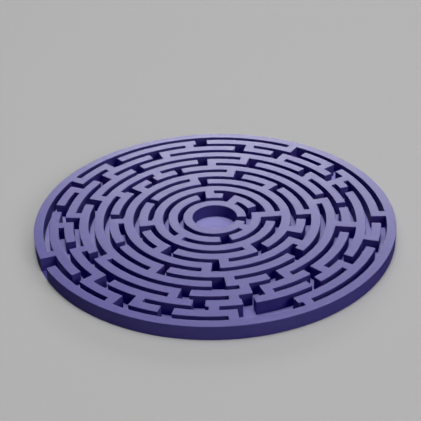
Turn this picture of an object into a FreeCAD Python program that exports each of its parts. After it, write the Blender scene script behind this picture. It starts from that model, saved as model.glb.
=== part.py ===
"""Round maze ball puzzle: a low tray with ten ring channels, its floor sheet and its ball.

Sizes are in millimetres and +Z is up. The origin is the centre of the tray's underside. Angles
are in degrees about Z, anticlockwise from +X as seen from above; the player sits at 270.

The labyrinth is a set of concentric ring walls, numbered from the goal wall (0) out to the rim
(10). Gates cut through the ring walls, and radial dividers block the channels between them.
Channel n lies between ring walls n and n + 1. Every wall top is flush.
"""

import FreeCAD, Part

import os

RIM = 10

# The pitch is the radial step from one ring wall to the next, so a channel is as wide as the
# pitch less one wall. The lift is the clearance under the ball, and the ball's angle is its place
# along the outermost channel.
DIMENSIONS = {
    "outer_diameter": 200.0,
    "ring_pitch": 8.25,
    "wall_thickness": 5.15,
    "wall_height": 7.6,
    "floor_thickness": 0.5,
    "ball_diameter": 2.5,
    "ball_lift": 0.02,
    "ball_angle": 225.0,
}

# Start and end angle of each gate, by ring wall. An end that is also the angle of a divider lies
# under that divider, whose side then closes the gate.
GATES = {
    0: [(341.5, 358.5)],
    1: [(3, 24), (57.5, 77.5), (95.5, 112), (277, 290.5)],
    2: [(349.5, 363)],
    3: [(95.5, 105.5), (150, 155.5), (188, 199), (226.5, 237.5), (299, 311)],
    4: [(37.5, 45.5), (69, 78.5), (264.5, 275.5), (328, 341), (355, 363.5)],
    5: [(109.5, 113.5), (128.5, 132.5), (142.5, 149.5), (175, 182.5), (205, 209),
        (237.5, 244), (315, 322)],
    6: [(13.5, 20), (66.5, 74), (91, 98.5), (268, 276.5), (294.5, 302)],
    7: [(5.5, 9.5), (40, 44), (126.5, 131), (160.5, 167), (207, 213.5), (253.5, 259.5),
        (282, 290), (310, 316), (345, 351.5)],
    8: [(17, 21), (27, 33), (57.5, 63.5), (74.5, 80.5), (112, 118), (141.5, 148),
        (176.5, 183.5), (196, 202.5), (222, 228.5), (261.5, 266), (279, 283.5),
        (305.5, 309.5), (323, 329)],
    9: [(33.5, 39.5), (52, 58.5), (92.5, 97), (130, 137), (151, 157.5), (169.5, 174),
        (216, 222), (235.5, 243), (251.5, 256), (275, 296), (337.5, 343.5), (353.5, 359.5)],
    10: [(201, 208)],
}

# Angle of each divider's centre line, by channel.
DIVIDERS = {
    0: [57.5, 325],
    1: [3, 95.5, 225.5],
    2: [3, 188, 299],
    3: [45.5, 105.5, 226.5, 275.5, 341],
    4: [3.5, 78.5, 142.5, 182.5, 264.5, 328],
    5: [13.5, 91, 124, 153.5, 237.5, 276.5],
    6: [37, 74, 160.5, 213.5, 282, 302, 351.5],
    7: [27, 57.5, 112, 141.5, 176.5, 202.5, 253.5, 276.5, 290, 316, 351.5],
    8: [27, 39.5, 74.5, 100, 137, 157.5, 183.5, 222, 243, 269, 323, 343.5],
    9: [58.5, 151, 201, 235.5, 275, 299, 359.5],
}


def fill_sheet(doc):
    """Put the driving dimensions and the maze's angles in the spreadsheet, one alias a row."""
    rows = dict(DIMENSIONS)
    for wall, gates in GATES.items():
        for number, (start, end) in enumerate(gates):
            rows[gate_alias(wall, number, "start")] = start
            rows[gate_alias(wall, number, "end")] = end
    for channel, angles in DIVIDERS.items():
        for number, angle in enumerate(angles):
            rows[divider_alias(channel, number)] = angle
    sheet = doc.addObject("Spreadsheet::Sheet", "Dimensions")
    for row, (alias, value) in enumerate(rows.items(), start=1):
        sheet.set(f"A{row}", alias)
        sheet.set(f"B{row}", str(value))
        sheet.setAlias(f"B{row}", alias)
    doc.recompute()


def gate_alias(wall, number, end):
    """Name of the cell that holds the start or the end angle of a gate."""
    return f"gate_{end}_of_wall_{wall}_number_{number}"


def divider_alias(channel, number):
    """Name of the cell that holds a divider's angle."""
    return f"divider_of_channel_{channel}_number_{number}"


def cell(alias):
    """Expression for a cell of the spreadsheet."""
    return f"Dimensions.{alias}"


def overrun():
    """Expression for how far a tool runs past the faces it cuts: half a wall's thickness."""
    return f"({cell('wall_thickness')} / 2)"


def inner_face(wall):
    """Expression for the inner radius of a ring wall."""
    return f"({outer_face(wall)} - {cell('wall_thickness')})"


def outer_face(wall):
    """Expression for the outer radius of a ring wall."""
    return f"({cell('outer_diameter')} / 2 - {RIM - wall} * {cell('ring_pitch')})"


def halfway(first, second):
    """Expression for the mean of two others."""
    return f"({first} + {second}) / 2"


def turn(feature, angle, radius="0", sideways="0", height="0"):
    """Turn a feature about Z, with its corner at a radius and a sideways offset in that frame."""
    feature.setExpression(".Placement.Rotation.Angle", angle)
    feature.setExpression(".Placement.Base.x", f"{radius} * cos({angle}) - {sideways} * sin({angle})")
    feature.setExpression(".Placement.Base.y", f"{radius} * sin({angle}) + {sideways} * cos({angle})")
    feature.setExpression(".Placement.Base.z", height)


def make_tube(doc, name, inner, outer, seam):
    """A ring of wall height between two radii, with the seams of its round faces at one angle."""
    body = doc.addObject("Part::Cylinder", f"{name}_outside")
    body.setExpression("Radius", outer)
    body.setExpression("Height", cell("wall_height"))
    turn(body, seam)
    bore = doc.addObject("Part::Cylinder", f"{name}_bore")
    bore.setExpression("Radius", inner)
    run_past_both_ends(bore)
    turn(bore, seam, height=f"-{overrun()}")
    tube = doc.addObject("Part::Cut", name)
    tube.Base = body
    tube.Tool = bore
    return tube


def run_past_both_ends(tool):
    """Make a tool taller than the walls, so that none of its end faces lies on one of theirs."""
    tool.setExpression("Height", f"{cell('wall_height')} + 2 * {overrun()}")


def join(doc, name, features):
    """Fuse features, or pass on a single one as it is."""
    if len(features) == 1:
        return features[0]
    fusion = doc.addObject("Part::MultiFuse", name)
    fusion.Shapes = features
    return fusion


def make_gate_tool(doc, wall, number):
    """The wedge, from the axis outwards, that a gate cuts out of its ring wall."""
    start = cell(gate_alias(wall, number, "start"))
    end = cell(gate_alias(wall, number, "end"))
    wedge = doc.addObject("Part::Cylinder", f"wall_{wall}_gate_{number}")
    wedge.setExpression("Radius", f"{outer_face(wall)} + {overrun()}")
    wedge.setExpression("Angle", f"{end} - {start}")
    run_past_both_ends(wedge)
    turn(wedge, start, height=f"-{overrun()}")
    return wedge


def make_ring_wall(doc, wall):
    """A ring wall with its gates cut through; the first gate takes the seams away."""
    seam = halfway(cell(gate_alias(wall, 0, "start")), cell(gate_alias(wall, 0, "end")))
    tube = make_tube(doc, f"wall_{wall}_uncut", inner_face(wall), outer_face(wall), seam)
    wedges = [make_gate_tool(doc, wall, number) for number in range(len(GATES[wall]))]
    ring = doc.addObject("Part::Cut", f"wall_{wall}")
    ring.Base = tube
    ring.Tool = join(doc, f"wall_{wall}_gates", wedges)
    return ring


def make_divider_bar(doc, channel, number):
    """A straight bar across a channel that runs past both walls beside it."""
    width = cell("wall_thickness")
    bar = doc.addObject("Part::Box", f"channel_{channel}_bar_{number}")
    across = f"{outer_face(channel + 1)} - {inner_face(channel)}"
    bar.setExpression("Length", f"{across} + 2 * {overrun()}")
    bar.setExpression("Width", width)
    run_past_both_ends(bar)
    turn(bar, cell(divider_alias(channel, number)), height=f"-{overrun()}",
         radius=f"({inner_face(channel)} - {overrun()})", sideways=f"(-{width} / 2)")
    return bar


def make_dividers(doc, channel):
    """A channel's dividers, trimmed to the far faces of the two walls that they join."""
    bars = [make_divider_bar(doc, channel, number) for number in range(len(DIVIDERS[channel]))]
    seam = halfway(cell(divider_alias(channel, 0)), cell(divider_alias(channel, 1)))
    limits = make_tube(doc, f"channel_{channel}_limits", inner_face(channel),
                       outer_face(channel + 1), seam)
    dividers = doc.addObject("Part::Common", f"channel_{channel}_dividers")
    dividers.Base = join(doc, f"channel_{channel}_bars", bars)
    dividers.Tool = limits
    return dividers


def make_maze_walls(doc):
    """The web of ring walls and dividers, which stands on the floor sheet as one piece."""
    walls = [make_ring_wall(doc, wall) for wall in GATES]
    dividers = [make_dividers(doc, channel) for channel in DIVIDERS]
    web = join(doc, "MazeWalls", walls + dividers)
    web.Refine = True
    web.Label = "maze_walls"
    web.setExpression(".Placement.Base.z", cell("floor_thickness"))
    return web


def make_floor_disc(doc):
    """The thin sheet that closes the underside of every channel."""
    disc = doc.addObject("Part::Cylinder", "FloorDisc")
    disc.Label = "floor_disc"
    disc.setExpression("Radius", f"{cell('outer_diameter')} / 2")
    disc.setExpression("Height", cell("floor_thickness"))
    return disc


def make_ball(doc):
    """The ball, on the floor of the outermost channel, in the stretch behind the rim's gate."""
    ball = doc.addObject("Part::Sphere", "SteelBall")
    ball.Label = "steel_ball"
    ball.setExpression("Radius", f"{cell('ball_diameter')} / 2")
    turn(ball, cell("ball_angle"), radius=f"({outer_face(RIM - 1)} + {inner_face(RIM)}) / 2",
         height=f"{cell('floor_thickness')} + {cell('ball_lift')} + {cell('ball_diameter')} / 2")
    return ball


def check(doc, subparts):
    """Stop if any object failed, or if a sub-part isn't exactly one valid closed solid."""
    for item in doc.Objects:
        if "Invalid" in item.State or "Error" in item.State:
            raise RuntimeError(f"{item.Name} failed: {item.State}")
    for subpart in subparts:
        shape = subpart.Shape
        if shape.isNull() or not shape.isValid() or len(shape.Solids) != 1:
            raise RuntimeError(f"{subpart.Label} is not one valid solid")


def main():
    doc = FreeCAD.newDocument("MazePuzzle")
    fill_sheet(doc)
    subparts = [make_maze_walls(doc), make_floor_disc(doc), make_ball(doc)]
    doc.recompute()
    check(doc, subparts)
    os.makedirs("parts", exist_ok=True)
    for subpart in subparts:
        subpart.Shape.exportStep(f"parts/{subpart.Label}.step")
        print(subpart.Label, round(subpart.Shape.Volume, 2), subpart.Shape.BoundBox)


main()
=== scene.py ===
"""Looks for the round maze ball puzzle: satin plastic, bright steel, pale floor and studio light.

Sizes are in metres in the tray's own frame: +Z is up, the origin is the centre of the underside
and the player, like the camera, is on the -Y side.
"""

import math

import bpy
from mathutils import Matrix, Vector


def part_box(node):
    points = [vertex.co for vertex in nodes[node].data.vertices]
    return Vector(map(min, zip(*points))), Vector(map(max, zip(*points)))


MM = 0.001

# The floor is painted with a sheen only inside the rim, which is this wide.
RIM_WIDTH = 5.15 * MM

# Edge rounding of the walls. Faces that meet at less than the flat angle become one face first,
# and edges sharper than the sharp angle are rounded. Big faces outweigh small ones in the
# shading, so that a flat top looks flat up to its rounded edge.
EDGE_RADIUS = 0.2 * MM
EDGE_STEPS = 2
SHARP_ANGLE = math.radians(40)
FLAT_ANGLE = math.radians(0.1)
WELD_DISTANCE = 0.01 * MM
BIG_FACE_WEIGHT = 100

# Colours are linear red, green and blue.
VIOLET = (0.068, 0.058, 0.260)
VIOLET_PALE = (0.080, 0.068, 0.291)
# The next two colours are a painted sheen, not the plastic's own colour. This pale violet is seen
# by the camera alone on the upward floor faces, and it stands in for the satin sheen and for the
# light that the channel floors lack.
PAINTED_SHEEN = (0.435, 0.415, 0.825)
PAINTED_SHEEN_PALE = (0.480, 0.458, 0.885)
STEEL = (0.86, 0.87, 0.89)
STEEL_DARK = (0.70, 0.71, 0.74)
FLOOR_GREY = (0.50, 0.50, 0.50)
BACKDROP_GREY = (0.43, 0.43, 0.43)
AMBIENT_GREY = (0.005, 0.005, 0.005)
BLACK_LEVEL = 0.005

# Plastic: a cloud shifts its colour and its roughness, and a fine grain stands in relief.
CLOUD_SIZE = 12 * MM
CLOUD_DETAIL = 6.0
CLOUD_ROUGHNESS = 0.7
PLASTIC_ROUGHNESS = (0.38, 0.44)
PLASTIC_GLOSS = 0.3
GRAIN_SIZE = 0.35 * MM
GRAIN_DEPTH = 0.01 * MM
GRAIN_STRENGTH = 0.35

# Steel: fine marks shift its colour and its roughness and stand in relief.
MARK_SIZE = 0.2 * MM
MARK_DEPTH = 0.002 * MM
MARK_STRENGTH = 0.2
STEEL_ROUGHNESS = (0.20, 0.32)

# The painted sheen on the floor grows with this power of a view's shallowness (0 from above,
# 1 along the face), and is full where that power reaches this value.
PAINTED_SHEEN_POWER = 3.0
PAINTED_SHEEN_FULL = 0.15

# Raw noise seldom leaves this range, which is stretched to the whole of 0 to 1.
NOISE_LOW = 0.3
NOISE_HIGH = 0.7

# A Mix node's sockets for two colours.
MIX_FACTOR, MIX_FIRST, MIX_SECOND = 0, 6, 7
MIX_RESULT = 2

# Camera: its distance is in outer radii, from the middle of the wall tops. The lens and the
# sensor's width are in millimetres.
CAMERA_DISTANCE = 6.054
CAMERA_ELEVATION = math.radians(31.80)
CAMERA_PITCH = math.radians(31.47)
CAMERA_YAW = math.radians(-0.25)
CAMERA_ROLL = math.radians(-1.47)
CAMERA_LENS = 92.95
CAMERA_SENSOR = 36.0

# Softboxes: each one's place and size in metres and its power in watts. They face the middle of
# the tray. The sheen panels are seen only as reflections in the satin tops, so they light
# nothing else. They stand all round, so that the tops shine for a viewer on any side.
LAMPS = {
    "overhead_softbox": {"place": (0.0, 0.05, 2.5), "size": (0.8, 0.8), "power": 26.6},
    "canopy_softbox": {"place": (0.0, 0.05, 1.0), "size": (1.4, 1.4), "power": 4.3},
    "fill_softbox": {"place": (1.6, -1.4, 1.2), "size": (1.0, 1.0), "power": 16.0},
    "back_softbox": {"place": (0.3, 2.0, 0.8), "size": (1.4, 0.6), "power": 13.6},
}
SHEEN_SIDES = 4
SHEENS = {
    "sheen_wide": {"place": (0.06, 0.45, 0.19), "size": (0.60, 0.12), "power": 1.08},
    "sheen_core": {"place": (0.0, 0.45, 0.22), "size": (0.20, 0.12), "power": 0.19},
}
STAGE_SIDE = 8.0


class Finish:
    """A node material whose Principled surface is fed by procedural nodes."""

    def __init__(self, name):
        """Start a material whose patterns are placed by the object's own coordinates."""
        self.material = bpy.data.materials.new(name)
        self.material.use_nodes = True
        self.tree = self.material.node_tree
        self.surface = self.tree.nodes["Principled BSDF"].inputs
        self.place = self.node("ShaderNodeTexCoord").outputs["Object"]

    def node(self, kind, **inputs):
        """Add a node; an input is a value or another node's output."""
        node = self.tree.nodes.new(kind)
        for name, value in inputs.items():
            self.feed(node.inputs[name.replace("_", " ")], value)
        return node

    def feed(self, socket, value):
        """Link another node's output to an input, or set the input's value."""
        if isinstance(value, bpy.types.NodeSocket):
            self.tree.links.new(value, socket)
        elif socket.type == "RGBA":
            socket.default_value = (*value, 1.0)
        else:
            socket.default_value = value

    def noise(self, grain, detail=4.0, roughness=0.5):
        """Noise from 0 to 1 whose largest lumps are about one grain across."""
        node = self.node("ShaderNodeTexNoise", Vector=self.place, Scale=1 / grain, Detail=detail,
                         Roughness=roughness)
        stretch = self.node("ShaderNodeMapRange", Value=node.outputs["Fac"], From_Min=NOISE_LOW,
                            From_Max=NOISE_HIGH)
        return stretch.outputs["Result"]

    def between(self, factor, low, high):
        """Map a factor of 0 to 1 to a range of values."""
        node = self.node("ShaderNodeMapRange", Value=factor, To_Min=low, To_Max=high)
        return node.outputs["Result"]

    def blend(self, factor, first, second):
        """Mix two colours."""
        node = self.tree.nodes.new("ShaderNodeMix")
        node.data_type = "RGBA"
        self.feed(node.inputs[MIX_FACTOR], factor)
        self.feed(node.inputs[MIX_FIRST], first)
        self.feed(node.inputs[MIX_SECOND], second)
        return node.outputs[MIX_RESULT]

    def calculate(self, operation, first, second):
        """The result of an operation on two outputs or numbers, kept between 0 and 1."""
        node = self.tree.nodes.new("ShaderNodeMath")
        node.operation = operation
        node.use_clamp = True
        self.feed(node.inputs[0], first)
        self.feed(node.inputs[1], second)
        return node.outputs[0]

    def within(self, radius):
        """1 nearer than a radius to the tray's axis, and 0 beyond it."""
        flat = self.node("ShaderNodeVectorMath")
        flat.operation = "MULTIPLY"
        self.feed(flat.inputs[0], self.place)
        self.feed(flat.inputs[1], (1.0, 1.0, 0.0))
        away = self.node("ShaderNodeVectorMath")
        away.operation = "LENGTH"
        self.feed(away.inputs[0], flat.outputs["Vector"])
        return self.calculate("LESS_THAN", away.outputs["Value"], radius)

    def painted_sheen_amount(self, radius):
        """How strong the painted sheen is: upward faces are painted paler towards a shallow view
        of them, standing in for the satin sheen and for the light that the channel floors lack.

        The painted sheen ends at a radius. Only the camera sees it, so the face throws no pale
        light on what is beside it.
        """
        axes = self.node("ShaderNodeSeparateXYZ")
        self.feed(axes.inputs[0], self.node("ShaderNodeNewGeometry").outputs["Normal"])
        seen = self.node("ShaderNodeLightPath").outputs["Is Camera Ray"]
        shallow = self.node("ShaderNodeLayerWeight").outputs["Facing"]
        sheen_paint = self.calculate("POWER", shallow, PAINTED_SHEEN_POWER)
        sheen_paint = self.calculate("DIVIDE", sheen_paint, PAINTED_SHEEN_FULL)
        for mask in (axes.outputs["Z"], seen, self.within(radius)):
            sheen_paint = self.calculate("MULTIPLY", sheen_paint, mask)
        return sheen_paint

    def relief(self, height, depth, strength):
        """Bump from a height of 0 to 1, scaled to a depth in metres."""
        node = self.node("ShaderNodeBump", Height=height, Distance=depth, Strength=strength)
        return node.outputs["Normal"]


def satin_plastic(name, painted_sheen_radius=0.0):
    """Violet plastic with a fine moulded grain and faint clouds, with a painted sheen out to a
    radius.
    """
    finish = Finish(name)
    grain = finish.noise(GRAIN_SIZE)
    cloud = finish.noise(CLOUD_SIZE, detail=CLOUD_DETAIL, roughness=CLOUD_ROUGHNESS)
    colour = finish.blend(cloud, VIOLET, VIOLET_PALE)
    # Out to the radius, the camera sees a painted sheen on upward faces. This paler colour stands
    # in for the satin sheen and for the light that the channel floors lack.
    if painted_sheen_radius:
        sheen_paint = finish.blend(cloud, PAINTED_SHEEN, PAINTED_SHEEN_PALE)
        colour = finish.blend(finish.painted_sheen_amount(painted_sheen_radius), colour, sheen_paint)
    finish.feed(finish.surface["Base Color"], colour)
    finish.feed(finish.surface["Roughness"], finish.between(cloud, *PLASTIC_ROUGHNESS))
    finish.feed(finish.surface["Specular IOR Level"], PLASTIC_GLOSS)
    finish.feed(finish.surface["Normal"], finish.relief(grain, GRAIN_DEPTH, GRAIN_STRENGTH))
    return finish.material


def polished_steel(name):
    """Ball steel: almost a mirror, with faint rolling marks."""
    finish = Finish(name)
    marks = finish.noise(MARK_SIZE)
    finish.feed(finish.surface["Metallic"], 1.0)
    finish.feed(finish.surface["Base Color"], finish.blend(marks, STEEL_DARK, STEEL))
    finish.feed(finish.surface["Roughness"], finish.between(marks, *STEEL_ROUGHNESS))
    finish.feed(finish.surface["Normal"], finish.relief(marks, MARK_DEPTH, MARK_STRENGTH))
    return finish.material


def matt_paper(name):
    """Dull grey paper for the stage floor."""
    finish = Finish(name)
    finish.feed(finish.surface["Base Color"], FLOOR_GREY)
    finish.feed(finish.surface["Roughness"], 1.0)
    finish.feed(finish.surface["Specular IOR Level"], 0.0)
    return finish.material


def paint(node, material):
    """Give a whole CAD node one material."""
    for slot in node.material_slots:
        slot.material = material


def weld(node):
    """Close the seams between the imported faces."""
    node.modifiers.new("weld", "WELD").merge_threshold = WELD_DISTANCE


def round_edges(node):
    """Join the triangles of a welded mesh's flat faces and round its sharp edges."""
    flatten = node.modifiers.new("flatten", "DECIMATE")
    flatten.decimate_type = "DISSOLVE"
    flatten.angle_limit = FLAT_ANGLE
    bevel = node.modifiers.new("edges", "BEVEL")
    bevel.width = EDGE_RADIUS
    bevel.segments = EDGE_STEPS
    bevel.limit_method = "ANGLE"
    bevel.angle_limit = SHARP_ANGLE
    bevel.miter_outer = "MITER_SHARP"
    shade = node.modifiers.new("shade", "WEIGHTED_NORMAL")
    shade.weight = BIG_FACE_WEIGHT
    shade.keep_sharp = False


def make_stage():
    """A plain pale floor under the tray."""
    bpy.ops.mesh.primitive_plane_add(size=STAGE_SIDE)
    floor = bpy.context.object
    floor.name = "stage_floor"
    floor.visible_glossy = False
    floor.data.materials.append(matt_paper("stage_paper"))


def make_world():
    """Faint even light all round, with a grey backdrop for the camera."""
    world = bpy.data.worlds.new("studio")
    bpy.context.scene.world = world
    world.use_nodes = True
    tree = world.node_tree
    ambient = tree.nodes["Background"]
    ambient.inputs["Color"].default_value = (*AMBIENT_GREY, 1)
    backdrop = tree.nodes.new("ShaderNodeBackground")
    backdrop.inputs["Color"].default_value = (*BACKDROP_GREY, 1)
    rays = tree.nodes.new("ShaderNodeLightPath")
    choice = tree.nodes.new("ShaderNodeMixShader")
    tree.links.new(rays.outputs["Is Camera Ray"], choice.inputs[0])
    tree.links.new(ambient.outputs[0], choice.inputs[1])
    tree.links.new(backdrop.outputs[0], choice.inputs[2])
    tree.links.new(choice.outputs[0], tree.nodes["World Output"].inputs["Surface"])


def make_softbox(name, place, size, power, turn=0.0, lights=True):
    """A rectangular softbox that faces the middle of the tray, turned about +Z from its place.

    One that doesn't light is seen only in reflections.
    """
    spot = Matrix.Rotation(turn, 3, "Z") @ Vector(place)
    light = bpy.data.lights.new(name, "AREA")
    light.shape = "RECTANGLE"
    light.size, light.size_y = size
    light.energy = power
    lamp = bpy.data.objects.new(name, light)
    bpy.context.scene.collection.objects.link(lamp)
    lamp.location = spot
    lamp.rotation_euler = spot.to_track_quat("Z", "Y").to_euler()
    lamp.visible_diffuse = lights


def make_camera(tray):
    """The camera, on the player's side, looking down at the tray."""
    low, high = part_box(tray)
    radius = (high.x - low.x) / 2
    back = CAMERA_DISTANCE * radius * math.cos(CAMERA_ELEVATION)
    up = CAMERA_DISTANCE * radius * math.sin(CAMERA_ELEVATION)
    data = bpy.data.cameras.new("camera")
    data.sensor_width = CAMERA_SENSOR
    data.lens = CAMERA_LENS
    camera = bpy.data.objects.new("camera", data)
    bpy.context.scene.collection.objects.link(camera)
    turn = Matrix.Rotation(-CAMERA_YAW, 4, "Z")
    tilt = Matrix.Rotation(math.pi / 2 - CAMERA_PITCH, 4, "X")
    roll = Matrix.Rotation(CAMERA_ROLL, 4, "Z")
    camera.matrix_world = Matrix.Translation((0, -back, high.z + up)) @ turn @ tilt @ roll
    bpy.context.scene.camera = camera


def set_tone():
    """Plain colours, with the deepest shadows taken down to black."""
    view = bpy.context.scene.view_settings
    view.view_transform = "Standard"
    view.use_curve_mapping = True
    view.curve_mapping.black_level = (BLACK_LEVEL, BLACK_LEVEL, BLACK_LEVEL)
    view.curve_mapping.update()


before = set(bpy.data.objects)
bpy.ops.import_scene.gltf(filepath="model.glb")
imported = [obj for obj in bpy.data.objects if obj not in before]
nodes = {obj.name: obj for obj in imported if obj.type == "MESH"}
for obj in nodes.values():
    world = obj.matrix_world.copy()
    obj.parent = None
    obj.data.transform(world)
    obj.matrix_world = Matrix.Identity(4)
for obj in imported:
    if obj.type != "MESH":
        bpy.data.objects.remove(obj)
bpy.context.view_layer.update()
set_tone()

paint(nodes["maze_walls"], satin_plastic("wall_plastic"))
rim_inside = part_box("floor_disc")[1].x - RIM_WIDTH
# Inside the rim, the floor gets the painted sheen.
paint(nodes["floor_disc"], satin_plastic("floor_plastic", painted_sheen_radius=rim_inside))
paint(nodes["steel_ball"], polished_steel("ball_steel"))
for node in nodes.values():
    weld(node)
round_edges(nodes["maze_walls"])

make_stage()
make_world()
for name, lamp in LAMPS.items():
    make_softbox(name, **lamp)
for name, panel in SHEENS.items():
    for side in range(SHEEN_SIDES):
        make_softbox(f"{name}_{side}", **panel, turn=side * math.tau / SHEEN_SIDES, lights=False)
make_camera("maze_walls")
